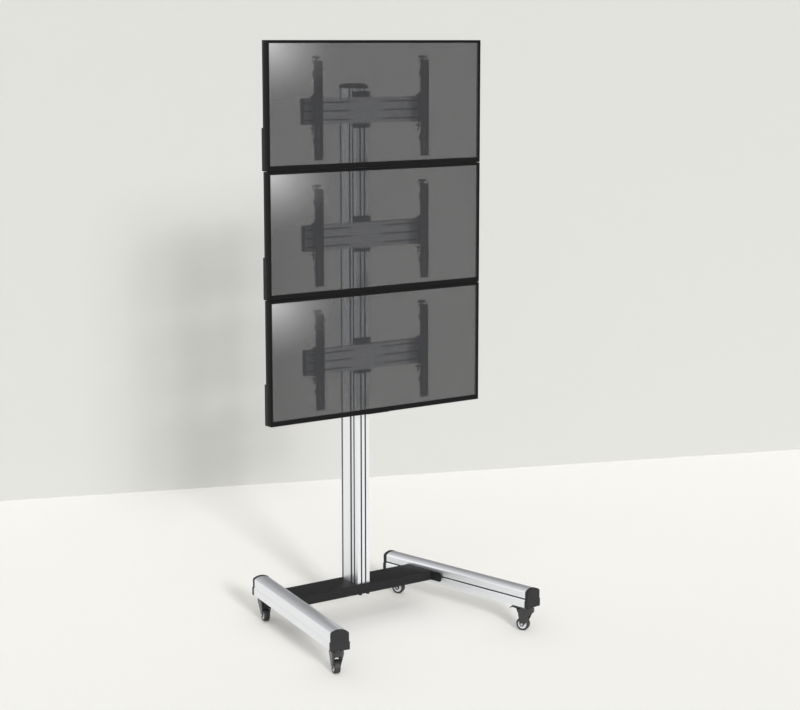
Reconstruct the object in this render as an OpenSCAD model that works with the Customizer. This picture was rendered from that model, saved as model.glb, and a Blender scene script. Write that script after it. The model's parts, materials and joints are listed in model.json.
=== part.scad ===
// Mobile video wall stand: one extruded column on a castor base carries three
// displays, one above the other, on rails, hanging brackets and adjusting knobs.
// Millimetres. X runs along the displays, -Y faces the viewer, Z is up.
// The origin is on the floor, under the middle of the base.

/* [Base] */
// Height of a castor, from the floor to the underside of the leg
caster_h = 123; // [112:1:150]
// Length of a leg extrusion without its end caps
leg_len = 932; // [750:1:1300]
// Distance between the two legs at half their length
leg_gap = 943; // [800:5:1200]
// Toe-out angle of each leg
leg_toe = 10.1; // [0:0.1:14]
// Width of a leg below its step
leg_w = 90; // [84:1:110]
// How far a leg's sides step in above the step
leg_step = 4; // [2:0.5:6]
// Height of a leg over its arched top
leg_h = 93; // [88:1:115]
// Thickness of a leg's end cap
leg_cap_t = 21; // [12:1:24]
// How far an end cap stands proud of the leg all round
cap_proud = 1; // [0.5:0.1:2]
// Height of the cross beam's underside above the leg's underside
beam_rise = 18; // [10:1:30]
// Height of the cross beam
beam_h = 46; // [40:1:60]
// Depth of the cross beam, front to back
beam_d = 174; // [166:1:220]
// Thickness of the beam's sheet steel
beam_t = 4; // [3:0.5:6]
// Thickness of the beam's end plates
plate_t = 5; // [4:0.5:8]
// How far an end plate runs forward of the beam
plate_reach = 62; // [40:1:150]

/* [Column] */
// Length of the column
column_len = 2394; // [2200:1:2800]
// Width of the column across the displays
column_w = 70; // [66:1:90]
// Depth of the column, front to back
column_d = 140; // [130:1:160]
// Distance from the base's middle back to the column's middle
column_y = 220; // [180:1:240]
// Height of the column's cap over its edge
column_cap_h = 23; // [14:1:30]
// Mouth of the column's slots
slot_w = 8; // [7:0.5:10]
// Inner width of the column's slots
slot_in = 15; // [13:0.5:16]

/* [Rails] */
// Distance between two displays, centre to centre
pitch = 583; // [560:1:620]
// Distance from the column's top down to the top rail's upper edge
rail_drop = 39.5; // [34:0.5:80]
// Overall length of a rail with its end caps
rail_len = 700; // [690:2:900]
// Height of a rail
rail_h = 120; // [110:1:130]
// Depth of a rail
rail_d = 30; // [26:1:36]
// Thickness of a rail's end cap
rail_cap_t = 3; // [2:0.5:6]
// Mouth of the three slots along a rail's front
rail_slot = 7; // [6:0.5:8]
// Thickness of a clamp's front plate
clamp_t = 9.7; // [8:0.1:14]
// Height of a clamp
clamp_h = 170; // [160:1:190]
// How far a clamp's cheeks run back along the column
clamp_cheek = 26; // [24:1:34]

/* [Arms] */
// Distance between the two arms of a display
arm_gap = 600; // [560:5:620]
// Length of an arm
arm_len = 450; // [450:1:470]
// Width of an arm's front strip
strip_w = 45; // [42:1:52]
// Thickness of an arm's front strip
strip_t = 2.5; // [2:0.1:3]
// Distance from the front of the strip back to the front of the rail
arm_d = 50; // [46:0.5:60]
// How far an arm's middle lies above its rail's middle
arm_rise = 6; // [0:1:8]
// Radius of the adjusting screws
screw_r = 4; // [3:0.1:4.5]
// Running clearance round every turning pin and screw, on the radius
run_gap = 0.06; // [0.02:0.01:0.09]
// Radius of a depth knob
depth_knob_r = 18.5; // [14:0.5:20]
// Radius of a height knob
height_knob_r = 20; // [14:0.5:20]

/* [Displays] */
// Width of a display
display_w = 1200; // [1000:5:1300]
// Gap between two displays
display_gap = 2; // [1:0.5:6]
// Depth of a display's upper part
display_d = 40; // [36:1:60]
// How far a display's middle lies above its rail's middle
display_rise = 32; // [20:1:40]
// Width of the bezel at the top and sides
bezel = 13; // [8:0.5:20]
// Width of the bezel at the bottom
bezel_low = 24; // [14:0.5:36]
// How far the lower third of the back stands out
bulge_d = 12; // [6:1:14]

/* [Castors] */
// Diameter of a castor wheel
wheel_d = 64; // [60:1:72]
// Width of a castor wheel
wheel_w = 28; // [20:1:30]
// Distance from the swivel axis back to the wheel's axle
trail = 26; // [22:1:30]
// Radius of the castor's threaded stem
stem_r = 6; // [5:0.5:7]
// Radius of the round crown of a castor's hood
crown_r = 29; // [28:0.5:32]
// How far a brake lever's tip lies from the swivel axis
pedal_reach = 90; // [84:1:96]

/* [Hidden] */
$fn = 48;

// A cut runs this far past the faces it opens
past = 1;
// Sliding clearance between flat faces of pieces that move
slide_gap = 0.3;

// Heights of the base
leg_z = caster_h;
beam_z = leg_z + beam_rise;
beam_top = beam_z + beam_h;
column_top = beam_top + column_len;

// Front-to-back places, from the column forward
beam_front = column_y - beam_d / 2 - 1;
column_front = column_y - column_d / 2;
clamp_front = column_front - slide_gap - clamp_t;
rail_front = clamp_front - rail_d;
strip_front = rail_front - arm_d;
display_front = strip_front - display_d;

// Leg outline: arch over the top and rounded shoulders
leg_step_z = 35;
leg_step_rise = 5;
leg_arch_r = 70;
leg_shoulder_r = 10;
leg_wall = 4;
leg_slot_z = 44;
leg_slot_w = 7;

// Castor swivel, measured from the outer face of the end cap
stem_inset = 34;
stem_at = leg_len / 2 + leg_cap_t - stem_inset;

// Rail and display heights
top_rail_z = column_top - rail_drop - rail_h / 2;
display_h = pitch - display_gap;

// Depth of the slots' lips and of their inner part
lip = 3;
slot_deep = 6;

// Arm details, measured down from the arm's top
depth_hole_z = [62, arm_len - 85];
vesa_z = [26, arm_len - 24];
small_hole_z = [50, 75, 87, 99, 112, 125, 137, arm_len / 2 + 2];
arm_slots = [[arm_len - 154, arm_len - 136], [arm_len - 123, arm_len - 101], [arm_len - 65, arm_len - 43]];
web_gap = 3.5;
web_t = 3;
web_w = 42;
web_y = strip_front + strip_t + web_gap;
height_screw_y = strip_front + 22;
depth_knob_y = strip_front + 20;

// Castor proportions: a hood with a round crown in front and two ears behind,
// which narrows down to the axle; x is across it, y runs back along the wheel
fork_top = caster_h - 13;
crown_t = 14;
crown_base = fork_top - crown_t;
cheek_t = 3.5;
dish_r = 20;
dish_deep = 3;
ear_w = crown_r - 2;
ear_y = trail + 18;
ear_drop = 4;
boss_r = 11;
axle_r = 4;
axle_z = wheel_d / 2;
wheel_gap = 3;
fork_in = wheel_w / 2 + 1.5;
fork_out = fork_in + cheek_t;
arch_r = fork_in + 4.5;
arch_z = crown_base - arch_r - 2;
pedal_slot_w = fork_in + 2;
pedal_slot_y = trail;
pedal_slot_z = arch_z - arch_r + 3;
stem_head_r = 9;
stem_head_h = 4;
nut_r = 11;
washer_r = 13;
washer_t = 4;
pedal_pin_r = 2.5;
pedal_pin_y = trail + 4;
pedal_pin_z = fork_top - 22;

// Where each castor's wheel trails, as an angle from straight back
turn_front_left = -15;
turn_front_right = 30;
turn_rear_left = 168;
turn_rear_right = -150;

function rail_z(k) = top_rail_z - k * pitch;
function arc(cx, cy, r, a0, a1, n) = [for (i = [0:n]) let (a = a0 + (a1 - a0) * i / n)
    [cx + r * cos(a), cy + r * sin(a)]];
function mirrored(points) = [for (i = [len(points) - 1:-1:0]) [-points[i][0], points[i][1]]];

// The inner face of the right leg, at a place along Y
function leg_inner_x(y) = leg_gap / 2 - y * tan(leg_toe) - leg_w / 2 / cos(leg_toe);

// Half of a leg's outline, from its bottom edge up over the arch, grown by g
function leg_half(g) = let (
    low = leg_w / 2 + g,
    up = leg_w / 2 - leg_step + g,
    top = leg_h + g,
    r = leg_shoulder_r,
    cz = top - leg_arch_r,
    rise = sqrt(pow(leg_arch_r - r, 2) - pow(up - r, 2)),
    a = atan2(rise, up - r))
    concat([[low - 2, -g], [low, 2 - g], [low, leg_step_z], [up, leg_step_z + leg_step_rise]],
        arc(up - r, cz + rise, r, 0, a, 4), arc(0, cz, leg_arch_r, a, 90, 6));

module leg_outline(g = 0) {
    half_points = leg_half(g);
    polygon(concat(half_points, mirrored(half_points)));
}

// Puts a piece in a leg's own frame: u across, +u outward, y along the leg
module on_leg(side) {
    translate([side * leg_gap / 2, 0, 0])
        rotate([0, 0, side * leg_toe])
            scale_side(side) children();
}

module scale_side(side) {
    if (side > 0) children();
    else mirror([1, 0, 0]) children();
}

// A T-slot seen along an edge: the mouth is on y = 0, the slot runs to +y
module t_slot(mouth, inner, depth) {
    translate([-mouth / 2, -past]) square([mouth, lip + 2 * past]);
    translate([-inner / 2, lip]) square([inner, depth]);
}

/* Base */

module leg(side) {
    on_leg(side) difference() {
        translate([0, 0, leg_z])
            rotate([90, 0, 0])
                linear_extrude(leg_len, center = true) difference() {
                    leg_outline();
                    translate([-leg_w / 2 + leg_wall, leg_wall])
                        square([leg_w - 2 * leg_wall, leg_step_z - 2 * leg_wall]);
                    translate([-leg_w / 2 + 20, leg_step_z])
                        square([leg_w - 20 - leg_wall - leg_step, leg_h - leg_step_z - 19]);
                    translate([-leg_w / 2 + leg_step, leg_slot_z])
                        rotate(-90) t_slot(leg_slot_w, leg_slot_w + 6, slot_deep);
                }
        for (end = [-1, 1])
            translate([0, end * stem_at, leg_z - past])
                cylinder(r = stem_r + 0.2, h = leg_wall + 2 * past);
    }
}

module left_leg() { color([0.82, 0.83, 0.85]) leg(-1); }

module right_leg() { color([0.82, 0.83, 0.85]) leg(1); }

module leg_end_cap() {
    rotate([90, 0, 0]) linear_extrude(leg_cap_t) leg_outline(cap_proud);
}

module end_caps() {
    color([0.2, 0.2, 0.2]) {
        for (side = [-1, 1]) on_leg(side) translate([0, 0, leg_z]) {
            translate([0, -leg_len / 2, 0]) leg_end_cap();
            translate([0, leg_len / 2 + leg_cap_t, 0]) leg_end_cap();
        }
        for (k = [0, 1]) rail_caps(k);
    }
}

module beam_outline(y0, y1) {
    polygon([[-leg_inner_x(y0), y0], [leg_inner_x(y0), y0], [leg_inner_x(y1), y1], [-leg_inner_x(y1), y1]]);
}

beam_back = beam_front + beam_d;
plate_w0 = (beam_front - plate_reach + leg_w / 2 * sin(leg_toe)) / cos(leg_toe);
plate_w1 = (beam_back + leg_w / 2 * sin(leg_toe)) / cos(leg_toe);
leg_bolt_gap = 55;
leg_bolt_w = [for (i = [0:2]) plate_w1 - 22 - i * leg_bolt_gap];

module cross_beam() {
    color([0.16, 0.16, 0.16]) difference() {
        union() {
            translate([0, 0, beam_top - beam_t]) linear_extrude(beam_t) beam_outline(beam_front, beam_back);
            translate([0, 0, beam_z]) linear_extrude(beam_h) beam_outline(beam_front, beam_front + beam_t);
            translate([0, 0, beam_z]) linear_extrude(beam_h) beam_outline(beam_back - beam_t, beam_back);
            for (side = [-1, 1]) on_leg(side)
                translate([-leg_w / 2 - plate_t, plate_w0, beam_z])
                    cube([plate_t, plate_w1 - plate_w0, beam_h]);
        }
        for (side = [-1, 1]) on_leg(side) for (w = leg_bolt_w)
            translate([-leg_w / 2 - plate_t - past, w, leg_z + leg_slot_z])
                rotate([0, 90, 0]) cylinder(r = leg_bolt_r + 0.2, h = plate_t + 2 * past);
        for (p = tie_at) translate([p[0], p[1], beam_top - beam_t - past])
            cylinder(r = tie_r + 0.2, h = beam_t + 2 * past);
    }
}

// Screws that tie the column to the foot, and bolts that close the foot
tie_r = 4;
tie_x = column_w / 2 - 9;
tie_y = column_d / 2 - 10;
tie_at = [for (sx = [-1, 1], sy = [-1, 1]) [sx * tie_x, column_y + sy * tie_y]];
foot_x = 60;
foot_t = 8;
foot_y0 = beam_front + beam_t + 1;
foot_y1 = beam_back - beam_t - 1;
foot_h = beam_h - beam_t;
foot_bolt_r = 5;
foot_bolt_at = [for (sx = [-1, 1], y = [foot_y0 + 10, foot_y1 - 10]) [sx * 22, y]];
leg_bolt_r = leg_slot_w / 2 - 0.5;

module column_foot() {
    color([0.3, 0.3, 0.32]) difference() {
        translate([-foot_x, foot_y0, beam_z]) cube([2 * foot_x, foot_y1 - foot_y0, foot_h]);
        translate([-foot_x + foot_t, foot_y0 - past, beam_z + foot_t])
            cube([2 * (foot_x - foot_t), foot_y1 - foot_y0 + 2 * past, foot_h - 2 * foot_t]);
        for (p = tie_at) translate([p[0], p[1], beam_z + foot_h - foot_t - past])
            cylinder(r = tie_r + 0.2, h = foot_t + 2 * past);
        for (p = foot_bolt_at) translate([p[0], p[1], beam_z - past])
            cylinder(r = foot_bolt_r + 0.2, h = foot_t + 2 * past);
    }
}

module hex_bolt(r, length, head_r, head_h) {
    translate([0, 0, -head_h]) cylinder(r = head_r, h = head_h, $fn = 6);
    cylinder(r = r, h = length);
}

module base_bolts() {
    color([0.25, 0.25, 0.26]) {
        for (p = foot_bolt_at) translate([p[0], p[1], beam_z]) hex_bolt(foot_bolt_r, foot_t + 8, 9.5, 9);
        for (p = tie_at) translate([p[0], p[1], beam_z + foot_h - foot_t])
            hex_bolt(tie_r, foot_t + beam_t + 24, 7.5, 6);
        for (side = [-1, 1]) on_leg(side) for (w = leg_bolt_w)
            translate([-leg_w / 2 - plate_t, w, leg_z + leg_slot_z]) rotate([0, 90, 0]) {
                hex_bolt(leg_bolt_r, plate_t + leg_step + lip + 4, 7, 5);
                translate([-5, -7, plate_t + leg_step + lip + 0.3]) cube([10, 14, 4]);
            }
    }
}

/* Column */

// Places across the column, and along its sides from its front
front_slot_x = 12;
side_slot_y = 27.5;
side_groove_y = 47;
side_groove_w = 14;
rear_groove_w = 17;
groove_deep = 3;
room_front = 40;
room_back = 28;
small_room = [14, 22];

module column_profile() {
    half_w = column_w / 2;
    half_d = column_d / 2;
    difference() {
        square([column_w, column_d], center = true);
        for (sx = [-1, 1]) {
            translate([sx * front_slot_x, -half_d]) t_slot(slot_w, slot_in, slot_deep);
            translate([sx * front_slot_x, half_d]) rotate(180) t_slot(slot_w, slot_in, slot_deep);
            translate([sx * half_w, -half_d + side_slot_y]) rotate(sx * 90)
                t_slot(slot_w + 2, slot_in, slot_deep);
            translate([sx * half_w - groove_deep, -half_d + side_groove_y])
                square([2 * groove_deep, side_groove_w]);
            translate([sx * half_w - groove_deep, half_d - rear_groove_w])
                square([2 * groove_deep, rear_groove_w + past]);
            for (sy = [-1, 1]) translate([sx * tie_x, sy * tie_y]) circle(r = tie_r + 0.2);
        }
        translate([-half_w + 7, -half_d + room_front])
            square([column_w - 14, column_d - room_front - room_back]);
        translate([-half_w + small_room[0], -half_d + small_room[0]])
            square([column_w - 2 * small_room[0], small_room[1]]);
    }
}

module column() {
    color([0.86, 0.87, 0.89]) translate([0, column_y, beam_top])
        linear_extrude(column_len) column_profile();
}

module column_cap() {
    cap_w = column_w + 2;
    cap_d = column_d + 2;
    dome_r = 270;
    color([0.15, 0.15, 0.15]) translate([0, column_y, column_top]) difference() {
        intersection() {
            translate([-cap_w / 2, -cap_d / 2, 0]) cube([cap_w, cap_d, column_cap_h]);
            translate([-cap_w, 0, column_cap_h - dome_r]) rotate([0, 90, 0])
                cylinder(r = dome_r, h = 2 * cap_w, $fn = 160);
        }
        for (sx = [-1, 1]) for (y = [side_slot_y, side_groove_y + side_groove_w / 2])
            translate([sx * cap_w / 2 - 1, y - column_d / 2 - 3, -past]) cube([2, 6, column_cap_h]);
    }
}

/* Castors: drawn with the swivel axis on the origin and the wheel trailing to +Y */

module at_caster(side, end, turn) {
    on_leg(side) translate([0, end * stem_at, 0])
        scale_side(side) rotate([0, 0, turn - side * leg_toe]) children();
}

module caster_stem() {
    head_top = crown_base - slide_gap;
    nut_z = fork_top - dish_deep + slide_gap;
    translate([0, 0, head_top]) cylinder(r = stem_r, h = caster_h + leg_wall + 12 - head_top);
    translate([0, 0, head_top - stem_head_h]) cylinder(r = stem_head_r, h = stem_head_h);
    translate([0, 0, nut_z]) cylinder(r = nut_r, h = caster_h - nut_z - 1, $fn = 6);
    translate([0, 0, caster_h - washer_t]) cylinder(r = washer_r, h = washer_t);
    translate([0, 0, caster_h + leg_wall]) cylinder(r = nut_r - 0.5, h = 8, $fn = 6);
}

module caster_stems() {
    color([0.75, 0.76, 0.78]) for (side = [-1, 1]) for (end = [-1, 1])
        at_caster(side, end, 0) caster_stem();
}

// The hood's form between two heights; set in by the wall's thickness it is the room inside
module hood(inset, z0, z1) {
    hull() {
        translate([0, 0, z0]) cylinder(r = crown_r - inset, h = z1 - z0);
        translate([inset - ear_w, 0, z0]) cube([2 * (ear_w - inset), ear_y - inset, z1 - z0 - ear_drop]);
        translate([inset - fork_out, trail, axle_z]) rotate([0, 90, 0])
            cylinder(r = boss_r + inset / 2, h = 2 * (fork_out - inset));
    }
}

module caster_fork(side, end, turn) {
    front = crown_r + past;
    color([0.22, 0.22, 0.23]) at_caster(side, end, turn) {
        difference() {
            hood(0, crown_base, fork_top);
            hood(cheek_t, crown_base - 2 * ear_drop, crown_base);
            translate([-fork_in, trail, axle_z]) rotate([0, 90, 0])
                cylinder(r = wheel_d / 2 + wheel_gap, h = 2 * fork_in);
            translate([0, -front, arch_z]) rotate([-90, 0, 0]) cylinder(r = arch_r, h = front + trail / 2);
            translate([-fork_in, -front, 0]) cube([2 * fork_in, 2 * front + ear_y, pedal_slot_z + past]);
            translate([-fork_in, -front, 0]) cube([2 * fork_in, front, arch_z]);
            translate([-pedal_slot_w, pedal_slot_y, pedal_slot_z]) cube([2 * pedal_slot_w, ear_y, fork_top]);
            translate([0, 0, crown_base - past]) cylinder(r = stem_r + run_gap, h = crown_t + 2 * past);
            translate([0, 0, fork_top - dish_deep]) cylinder(r = dish_r, h = dish_deep + past);
        }
        translate([-fork_out - 1.5, trail, axle_z]) rotate([0, 90, 0])
            cylinder(r = axle_r, h = 2 * fork_out + 3);
        translate([2 - ear_w, pedal_pin_y, pedal_pin_z]) rotate([0, 90, 0])
            cylinder(r = pedal_pin_r, h = 2 * ear_w - 4);
    }
}

module caster_wheel(side, end, turn) {
    r = wheel_d / 2;
    w = wheel_w / 2;
    rim = r - 10;
    at_caster(side, end, turn) translate([0, trail, axle_z]) rotate([0, 90, 0]) {
        color([0.12, 0.12, 0.12]) rotate_extrude($fn = 64)
            polygon(concat([[rim, -w], [r - 4, -w]], arc(r - 4, -w + 4, 4, -90, 0, 4),
                arc(r - 4, w - 4, 4, 0, 90, 4), [[rim, w]]));
        color([0.7, 0.71, 0.73]) rotate_extrude($fn = 64)
            polygon([[axle_r + run_gap, -w - 0.5], [9, -w - 0.5], [11, -w + 4], [rim - 5, -w + 4],
                [rim - 3, -w + 1], [rim - 0.05, -w + 1], [rim - 0.05, w - 1], [rim - 3, w - 1], [rim - 5, w - 4], [11, w - 4],
                [9, w + 0.5], [axle_r + run_gap, w + 0.5]]);
    }
}

// The pedal: a body with the brake pad between the ears, and a wider arched lever behind them
module brake_pedal(side, end, turn) {
    body_w = pedal_slot_w - 0.5;
    lever_w = fork_out + 1;
    y = pedal_pin_y;
    z = pedal_pin_z;
    tip = pedal_reach;
    color([0.14, 0.14, 0.14]) at_caster(side, end, turn) difference() {
        union() {
            translate([-body_w, 0, 0]) rotate([90, 0, 90]) linear_extrude(2 * body_w)
                polygon([[y - 3.5, z + 17], [y - 3.5, z - 4], [y + 3, z - 5], [y + 8, z - 21], [y + 15, z - 21],
                    [y + 17, z - 2], [y + 24, z + 10], [y + 24, z + 24], [y + 8, z + 22]]);
            translate([-lever_w, 0, 0]) rotate([90, 0, 90]) linear_extrude(2 * lever_w)
                polygon([[y + 17, z + 14], [y + 24, z + 19], [tip - 25, z + 24], [tip - 13, z + 24.5],
                    [tip - 1, z + 19], [tip, z + 21], [tip - 11, z + 28], [tip - 24, z + 29],
                    [y + 17, z + 23]]);
        }
        translate([-body_w - past, y, z]) rotate([0, 90, 0])
            cylinder(r = pedal_pin_r + run_gap, h = 2 * (body_w + past));
    }
}

/* Clamps and rails: k is 0 for the top display, 1 for the middle, 2 for the low one */

clamp_screw_r = 2.5;
clamp_screw_z = clamp_h / 2 - 16;
clamp_screw_y = column_front + 19;
cheek_out = column_w / 2 + 5;

module clamp(k) {
    cheek_in = column_w / 2 + slide_gap;
    key_h = clamp_h - 30;
    translate([0, 0, rail_z(k) + 2]) {
        difference() {
            translate([-cheek_out, clamp_front, -clamp_h / 2])
                cube([2 * cheek_out, clamp_t + slide_gap + clamp_cheek, clamp_h]);
            translate([-cheek_in, clamp_front + clamp_t, -clamp_h / 2 - past])
                cube([2 * cheek_in, column_d, clamp_h + 2 * past]);
            for (z = [-clamp_screw_z, clamp_screw_z]) translate([-2 * cheek_out, clamp_screw_y, z])
                rotate([0, 90, 0]) cylinder(r = clamp_screw_r + 0.2, h = 4 * cheek_out);
        }
        for (sx = [-1, 1]) {
            translate([sx * front_slot_x - slot_w / 2 + slide_gap, clamp_front + clamp_t - past, -key_h / 2])
                cube([slot_w - 2 * slide_gap, lip + slide_gap + past + 2, key_h]);
            translate([sx * front_slot_x - slot_in / 2 + slide_gap, column_front + lip + slide_gap, -key_h / 2])
                cube([slot_in - 2 * slide_gap, slot_deep - 2 * slide_gap, key_h]);
            for (z = [-clamp_screw_z, clamp_screw_z]) translate([sx * cheek_out, clamp_screw_y, z])
                rotate([0, -sx * 90, 0]) {
                    translate([0, 0, -3]) cylinder(r = 5, h = 3);
                    cylinder(r = clamp_screw_r, h = cheek_out - column_w / 2 - slide_gap);
                }
        }
    }
}

module upper_clamps() { color([0.14, 0.14, 0.14]) for (k = [0, 1]) clamp(k); }

module lower_clamp() { color([0.14, 0.14, 0.14]) clamp(2); }

rail_slot_z = [-rail_h / 3, 0, rail_h / 3];
rail_fill = 190;
rail_bolt_x = [-84, -46, 0, 46, 84];
rail_groove_y = rail_d / 2;
rail_groove_w = 8;
rail_groove_deep = 10;

// Seen from the left end: y across the rail's depth, z over its height
module rail_profile() {
    difference() {
        translate([0, -rail_h / 2]) square([rail_d, rail_h]);
        for (z = rail_slot_z) translate([0, z]) rotate(-90) t_slot(rail_slot, rail_slot + 6, 4);
        for (z = [-rail_h / 4 - 1, 0, rail_h / 4 + 1]) translate([11, z - 11]) square([rail_d - 14, 22]);
        for (s = [-1, 1]) translate([rail_groove_y - rail_groove_w / 2, s * rail_h / 2 - rail_groove_deep])
            square([rail_groove_w, 2 * rail_groove_deep]);
    }
}

module rail(k) {
    bar = rail_len - 2 * rail_cap_t;
    translate([0, rail_front, rail_z(k)]) {
        color([0.72, 0.73, 0.75]) {
            translate([-bar / 2, 0, 0]) rotate([90, 0, 90]) linear_extrude(bar) rail_profile();
            for (z = rail_slot_z) translate([-rail_fill / 2, 1.5, z - rail_slot / 2 - 1])
                cube([rail_fill, lip + 2, rail_slot + 2]);
        }
        color([0.12, 0.12, 0.12]) for (z = rail_slot_z) for (x = rail_bolt_x)
            translate([x, 1.5, z]) rotate([90, 0, 0]) cylinder(r = 3, h = 1);
    }
}

module rail_caps(k) {
    for (side = [-1, 1]) translate([side * (rail_len - rail_cap_t) / 2, rail_front, rail_z(k)]) {
        translate([-rail_cap_t / 2, 0, -rail_h / 2]) cube([rail_cap_t, rail_d, rail_h]);
    }
}

module lower_rail_caps() { color([0.16, 0.16, 0.16]) rail_caps(2); }

/* Arms: a hanger hooks over the rail, a strip in front of it carries the display */

arm_top = arm_rise + arm_len / 2;
arm_low = arm_rise - arm_len / 2;
hook_w = 8;
hook_y = rail_front + rail_groove_y;
lock_y = rail_front + 4;
lock_r = 3;
lug_z = -rail_h / 2 - 20;

module both_arms(k) {
    for (side = [-1, 1]) translate([side * arm_gap / 2, 0, rail_z(k)]) children();
}

module hanger() {
    difference() {
        union() {
            translate([-web_w / 2, web_y, arm_low]) cube([web_w, web_t, arm_len]);
            translate([-web_w / 2, web_y, arm_top - 3]) cube([web_w, 28, 3]);
            translate([-10, web_y, arm_top - 14]) cube([20, height_screw_y - web_y + 9, 14]);
            translate([-hook_w / 2, 0, 0]) rotate([90, 0, 90]) linear_extrude(hook_w)
                polygon([[web_y, rail_h / 2 + 36], [hook_y + 3, rail_h / 2 + 5], [hook_y + 3, rail_h / 2 - 7],
                    [hook_y - 2.5, rail_h / 2 - 7], [hook_y - 2.5, rail_h / 2 + slide_gap],
                    [rail_front - slide_gap, rail_h / 2 + slide_gap], [rail_front - slide_gap, 2 - rail_h / 2],
                    [rail_front - 24, -rail_h / 2 - 6], [rail_front - 24, lug_z], [web_y, lug_z]]);
            translate([-9, web_y, lug_z]) cube([18, lock_y + 9 - web_y, 6]);
        }
        for (z = depth_hole_z) translate([0, web_y - past, arm_top - z]) rotate([-90, 0, 0])
            cylinder(r = screw_r + run_gap, h = web_t + 2 * past);
        translate([0, height_screw_y, arm_top - 14 - past]) cylinder(r = screw_r + run_gap, h = 14 + 2 * past);
        translate([0, lock_y, lug_z - past]) cylinder(r = lock_r + 0.05, h = 6 + 2 * past);
        for (s = arm_slots) translate([-4, web_y - past, arm_top - s[1]])
            cube([8, web_t + 2 * past, s[1] - s[0]]);
        for (z = vesa_z) translate([0, web_y - past, arm_top - z]) rotate([-90, 0, 0])
            cylinder(r = 7, h = web_t + 2 * past);
    }
    translate([0, lock_y, -rail_h / 2 - 41]) {
        cylinder(r = lock_r, h = 40);
        cylinder(r = lock_r + 3, h = 7, $fn = 6);
    }
}

module hangers(k) { color([0.15, 0.15, 0.15]) both_arms(k) hanger(); }

module strip() {
    difference() {
        translate([-strip_w / 2, strip_front, arm_low]) cube([strip_w, strip_t, arm_len]);
        for (z = depth_hole_z) translate([0, strip_front - past, arm_top - z]) rotate([-90, 0, 0])
            cylinder(r = screw_r + run_gap, h = strip_t + 2 * past);
        for (z = small_hole_z) translate([0, strip_front - past, arm_top - z]) rotate([-90, 0, 0])
            cylinder(r = 2.6, h = strip_t + 2 * past);
        for (z = vesa_z) translate([0, strip_front - past, arm_top - z]) rotate([-90, 0, 0])
            cylinder(r = 3.2, h = strip_t + 2 * past);
        for (s = arm_slots) translate([-4, strip_front - past, arm_top - s[1]])
            cube([8, strip_t + 2 * past, s[1] - s[0]]);
    }
    for (z = vesa_z) translate([0, strip_front, arm_top - z]) rotate([-90, 0, 0]) {
        cylinder(r = 3, h = strip_t);
        translate([0, 0, strip_t]) cylinder(r = 6, h = 2.8);
    }
}

module strips(k) { color([0.13, 0.13, 0.13]) both_arms(k) strip(); }

/* Knobs */

module height_knob(k, side) {
    neck = 9;
    head = 11;
    r = height_knob_r;
    color([0.1, 0.1, 0.1]) translate([side * arm_gap / 2, height_screw_y, rail_z(k) + arm_top])
        rotate_extrude()
            polygon(concat([[0, -34], [screw_r, -34], [screw_r, slide_gap], [6.5, slide_gap], [6.5, neck]],
                [[r - 3, neck]], arc(r - 3, neck + 3, 3, -90, 0, 3), [[r, neck + head - 5]],
                arc(r - 5, neck + head - 5, 5, 0, 90, 4), [[0, neck + head + 0.5]]));
}

module depth_knob(k, side, level) {
    r = depth_knob_r;
    tip = -(depth_knob_y - strip_front) + 0.4;
    color([0.1, 0.1, 0.1])
        translate([side * arm_gap / 2, depth_knob_y, rail_z(k) + arm_top - depth_hole_z[level]])
            rotate([-90, 0, 0]) rotate_extrude()
                polygon(concat([[0, tip], [screw_r, tip], [screw_r, -2], [7, -2], [7, 0], [r - 2, 0], [r, 2]],
                    [[r, 6]], arc(r - 5, 6, 5, 0, 90, 4), [[0, 11.5]]));
}

/* Displays */

frame_wall = 5;
frame_d = 24;
lip_t = 3;
panel_t = 6;
cover_wall = 3;

function display_z(k) = rail_z(k) + display_rise - display_h / 2;

module display_box(inset, y0, y1, k) {
    translate([-display_w / 2 + inset, y0, display_z(k) + inset])
        cube([display_w - 2 * inset, y1 - y0, display_h - 2 * inset]);
}

module frame(k) {
    y = display_front;
    color([0.12, 0.12, 0.12]) difference() {
        display_box(0, y, y + frame_d, k);
        display_box(frame_wall, y + lip_t, y + frame_d + past, k);
        translate([-display_w / 2 + bezel, y - past, display_z(k) + bezel_low])
            cube([display_w - 2 * bezel, lip_t + 2 * past, display_h - bezel - bezel_low]);
    }
}

module screen(k) {
    color([0.3, 0.31, 0.32, 0.6])
        display_box(frame_wall + 0.2, display_front + lip_t, display_front + lip_t + panel_t, k);
}

module rear_cover(k) {
    y0 = display_front + frame_d;
    channel = strip_w + 20;
    low_h = display_h / 3;
    color([0.2, 0.2, 0.2, 0.8]) difference() {
        union() {
            display_box(0, y0, strip_front, k);
            difference() {
                translate([-display_w / 2, strip_front - past, display_z(k)])
                    cube([display_w, bulge_d + past, low_h]);
                for (side = [-1, 1])
                    translate([side * arm_gap / 2 - channel / 2, strip_front, display_z(k) - past]) cube([channel, bulge_d + past, low_h + 2 * past]);
            }
        }
        display_box(cover_wall, y0 - past, strip_front - cover_wall, k);
        for (x = [[-display_w / 2 + cover_wall, -arm_gap / 2 - channel / 2 - cover_wall],
                  [-arm_gap / 2 + channel / 2 + cover_wall, arm_gap / 2 - channel / 2 - cover_wall],
                  [arm_gap / 2 + channel / 2 + cover_wall, display_w / 2 - cover_wall]])
            translate([x[0], strip_front - cover_wall - past, display_z(k) + cover_wall])
                cube([x[1] - x[0], bulge_d + past, low_h - 2 * cover_wall]);
    }
}

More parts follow.
